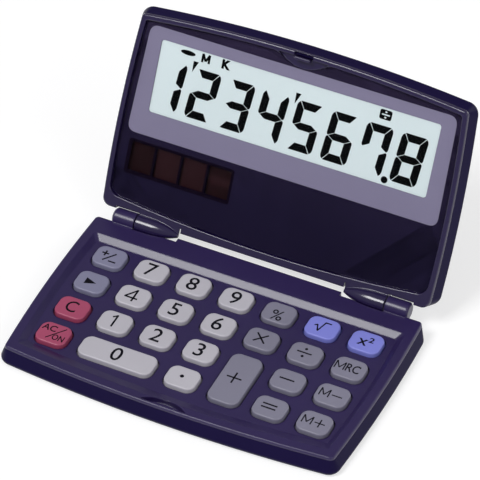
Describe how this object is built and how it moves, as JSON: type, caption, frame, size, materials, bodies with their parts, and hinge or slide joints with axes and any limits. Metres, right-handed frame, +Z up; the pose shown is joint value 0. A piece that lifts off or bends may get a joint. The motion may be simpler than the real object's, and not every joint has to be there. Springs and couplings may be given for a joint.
{
  "type": "folding pocket calculator",
  "caption": "Thin folding pocket calculator: a keypad leaf and a solar display leaf on a barrel hinge, shown open.",
  "frame": {"origin": "on the flat underside of the keypad leaf, midway across it and midway from its hinge edge to its front edge", "axes": "+X to the right across both leaves and along the hinge, -Y towards the user, +Z up out of the keys"},
  "size_m": [0.0936, 0.0868, 0.0547],
  "materials": {
    "case_shell": "fine satin",
    "case_frame": "fine satin",
    "lid_shell": "fine satin",
    "lid_frame": "fine satin",
    "digit_key": "satin",
    "function_key": "satin",
    "edit_key": "satin",
    "clear_key": "satin",
    "root_key": "satin",
    "key_rubber": "matt",
    "circuit_board": "satin",
    "screw_steel": "plated",
    "pin_steel": "drawn",
    "ribbon": "film",
    "window_clear": "clear and polished",
    "window_print": "printed film",
    "polariser": "grey film",
    "display_glass": "polished",
    "reflector": "silvered film",
    "connector_rubber": "striped",
    "chip_resin": "cast resin",
    "solar_glass": "polished",
    "solar_cell": "amorphous film",
    "cell_steel": "plated",
    "contact_metal": "plated",
    "wire": "insulated"
  },
  "bodies": {
    "keypad leaf": {"base_bottom_cover": "case_shell", "keypad_frame": "case_frame", "key_circuit_board": "circuit_board", "key_rubber_mat": "key_rubber", "base_screws": "screw_steel", "hinge_pin": "pin_steel", "hinge_ribbon_cable": "ribbon"},
    "display leaf": {"lid_outer_cover": "lid_shell", "lid_frame": "lid_frame", "window_plate": "window_clear", "window_mask": "window_print", "display_polariser": "polariser", "display_front_glass": "display_glass", "display_rear_glass": "display_glass", "display_reflector": "reflector", "display_connector_strip": "connector_rubber", "main_circuit_board": "circuit_board", "controller_chip": "chip_resin", "solar_glass": "solar_glass", "solar_cells": "solar_cell", "button_cell": "cell_steel", "battery_positive_contact": "contact_metal", "battery_negative_contact": "contact_metal", "solar_leads": "wire", "hinge_friction_sleeve": "pin_steel", "lid_screws": "screw_steel", "lid_ribbon_end": "ribbon"},
    "key sign_change": {"key_sign_change": "edit_key"},
    "key backspace": {"key_backspace": "edit_key"},
    "key clear": {"key_clear": "clear_key"},
    "key all_clear_on": {"key_all_clear_on": "clear_key"},
    "key 7": {"key_7": "digit_key"},
    "key 8": {"key_8": "digit_key"},
    "key 9": {"key_9": "digit_key"},
    "key 4": {"key_4": "digit_key"},
    "key 5": {"key_5": "digit_key"},
    "key 6": {"key_6": "digit_key"},
    "key 1": {"key_1": "digit_key"},
    "key 2": {"key_2": "digit_key"},
    "key 3": {"key_3": "digit_key"},
    "key 0": {"key_0": "digit_key"},
    "key decimal_point": {"key_decimal_point": "digit_key"},
    "key percent": {"key_percent": "function_key"},
    "key multiply": {"key_multiply": "function_key"},
    "key plus": {"key_plus": "function_key"},
    "key square_root": {"key_square_root": "root_key"},
    "key divide": {"key_divide": "function_key"},
    "key minus": {"key_minus": "function_key"},
    "key equals": {"key_equals": "function_key"},
    "key square": {"key_square": "root_key"},
    "key memory_recall": {"key_memory_recall": "function_key"},
    "key memory_minus": {"key_memory_minus": "function_key"},
    "key memory_plus": {"key_memory_plus": "function_key"}
  },
  "joints": [
    {"name": "leaf_hinge", "type": "hinge", "parent": "keypad leaf", "child": "display leaf", "pos_m": [0, 0.02857, 0.0055], "axis": [1, 0, 0], "range_deg": [-63, 117]},
    {"name": "press_key_sign_change", "type": "slide", "parent": "keypad leaf", "child": "key sign_change", "axis": [0, 0, -1], "range_m": [0, 0.0005], "stiffness_N_per_m": 900, "springref_m": -0.0003, "deforming": ["key_rubber_mat"]},
    {"name": "press_key_backspace", "type": "slide", "parent": "keypad leaf", "child": "key backspace", "axis": [0, 0, -1], "range_m": [0, 0.0005], "stiffness_N_per_m": 900, "springref_m": -0.0003, "deforming": ["key_rubber_mat"]},
    {"name": "press_key_clear", "type": "slide", "parent": "keypad leaf", "child": "key clear", "axis": [0, 0, -1], "range_m": [0, 0.0005], "stiffness_N_per_m": 900, "springref_m": -0.0003, "deforming": ["key_rubber_mat"]},
    {"name": "press_key_all_clear_on", "type": "slide", "parent": "keypad leaf", "child": "key all_clear_on", "axis": [0, 0, -1], "range_m": [0, 0.0005], "stiffness_N_per_m": 900, "springref_m": -0.0003, "deforming": ["key_rubber_mat"]},
    {"name": "press_key_7", "type": "slide", "parent": "keypad leaf", "child": "key 7", "axis": [0, 0, -1], "range_m": [0, 0.0005], "stiffness_N_per_m": 900, "springref_m": -0.0003, "deforming": ["key_rubber_mat"]},
    {"name": "press_key_8", "type": "slide", "parent": "keypad leaf", "child": "key 8", "axis": [0, 0, -1], "range_m": [0, 0.0005], "stiffness_N_per_m": 900, "springref_m": -0.0003, "deforming": ["key_rubber_mat"]},
    {"name": "press_key_9", "type": "slide", "parent": "keypad leaf", "child": "key 9", "axis": [0, 0, -1], "range_m": [0, 0.0005], "stiffness_N_per_m": 900, "springref_m": -0.0003, "deforming": ["key_rubber_mat"]},
    {"name": "press_key_4", "type": "slide", "parent": "keypad leaf", "child": "key 4", "axis": [0, 0, -1], "range_m": [0, 0.0005], "stiffness_N_per_m": 900, "springref_m": -0.0003, "deforming": ["key_rubber_mat"]},
    {"name": "press_key_5", "type": "slide", "parent": "keypad leaf", "child": "key 5", "axis": [0, 0, -1], "range_m": [0, 0.0005], "stiffness_N_per_m": 900, "springref_m": -0.0003, "deforming": ["key_rubber_mat"]},
    {"name": "press_key_6", "type": "slide", "parent": "keypad leaf", "child": "key 6", "axis": [0, 0, -1], "range_m": [0, 0.0005], "stiffness_N_per_m": 900, "springref_m": -0.0003, "deforming": ["key_rubber_mat"]},
    {"name": "press_key_1", "type": "slide", "parent": "keypad leaf", "child": "key 1", "axis": [0, 0, -1], "range_m": [0, 0.0005], "stiffness_N_per_m": 900, "springref_m": -0.0003, "deforming": ["key_rubber_mat"]},
    {"name": "press_key_2", "type": "slide", "parent": "keypad leaf", "child": "key 2", "axis": [0, 0, -1], "range_m": [0, 0.0005], "stiffness_N_per_m": 900, "springref_m": -0.0003, "deforming": ["key_rubber_mat"]},
    {"name": "press_key_3", "type": "slide", "parent": "keypad leaf", "child": "key 3", "axis": [0, 0, -1], "range_m": [0, 0.0005], "stiffness_N_per_m": 900, "springref_m": -0.0003, "deforming": ["key_rubber_mat"]},
    {"name": "press_key_0", "type": "slide", "parent": "keypad leaf", "child": "key 0", "axis": [0, 0, -1], "range_m": [0, 0.0005], "stiffness_N_per_m": 1100, "springref_m": -0.0003, "deforming": ["key_rubber_mat"]},
    {"name": "press_key_decimal_point", "type": "slide", "parent": "keypad leaf", "child": "key decimal_point", "axis": [0, 0, -1], "range_m": [0, 0.0005], "stiffness_N_per_m": 900, "springref_m": -0.0003, "deforming": ["key_rubber_mat"]},
    {"name": "press_key_percent", "type": "slide", "parent": "keypad leaf", "child": "key percent", "axis": [0, 0, -1], "range_m": [0, 0.0005], "stiffness_N_per_m": 900, "springref_m": -0.0003, "deforming": ["key_rubber_mat"]},
    {"name": "press_key_multiply", "type": "slide", "parent": "keypad leaf", "child": "key multiply", "axis": [0, 0, -1], "range_m": [0, 0.0005], "stiffness_N_per_m": 900, "springref_m": -0.0003, "deforming": ["key_rubber_mat"]},
    {"name": "press_key_plus", "type": "slide", "parent": "keypad leaf", "child": "key plus", "axis": [0, 0, -1], "range_m": [0, 0.0005], "stiffness_N_per_m": 1100, "springref_m": -0.0003, "deforming": ["key_rubber_mat"]},
    {"name": "press_key_square_root", "type": "slide", "parent": "keypad leaf", "child": "key square_root", "axis": [0, 0, -1], "range_m": [0, 0.0005], "stiffness_N_per_m": 900, "springref_m": -0.0003, "deforming": ["key_rubber_mat"]},
    {"name": "press_key_divide", "type": "slide", "parent": "keypad leaf", "child": "key divide", "axis": [0, 0, -1], "range_m": [0, 0.0005], "stiffness_N_per_m": 900, "springref_m": -0.0003, "deforming": ["key_rubber_mat"]},
    {"name": "press_key_minus", "type": "slide", "parent": "keypad leaf", "child": "key minus", "axis": [0, 0, -1], "range_m": [0, 0.0005], "stiffness_N_per_m": 900, "springref_m": -0.0003, "deforming": ["key_rubber_mat"]},
    {"name": "press_key_equals", "type": "slide", "parent": "keypad leaf", "child": "key equals", "axis": [0, 0, -1], "range_m": [0, 0.0005], "stiffness_N_per_m": 900, "springref_m": -0.0003, "deforming": ["key_rubber_mat"]},
    {"name": "press_key_square", "type": "slide", "parent": "keypad leaf", "child": "key square", "axis": [0, 0, -1], "range_m": [0, 0.0005], "stiffness_N_per_m": 900, "springref_m": -0.0003, "deforming": ["key_rubber_mat"]},
    {"name": "press_key_memory_recall", "type": "slide", "parent": "keypad leaf", "child": "key memory_recall", "axis": [0, 0, -1], "range_m": [0, 0.0005], "stiffness_N_per_m": 900, "springref_m": -0.0003, "deforming": ["key_rubber_mat"]},
    {"name": "press_key_memory_minus", "type": "slide", "parent": "keypad leaf", "child": "key memory_minus", "axis": [0, 0, -1], "range_m": [0, 0.0005], "stiffness_N_per_m": 900, "springref_m": -0.0003, "deforming": ["key_rubber_mat"]},
    {"name": "press_key_memory_plus", "type": "slide", "parent": "keypad leaf", "child": "key memory_plus", "axis": [0, 0, -1], "range_m": [0, 0.0005], "stiffness_N_per_m": 900, "springref_m": -0.0003, "deforming": ["key_rubber_mat"]}
  ]
}
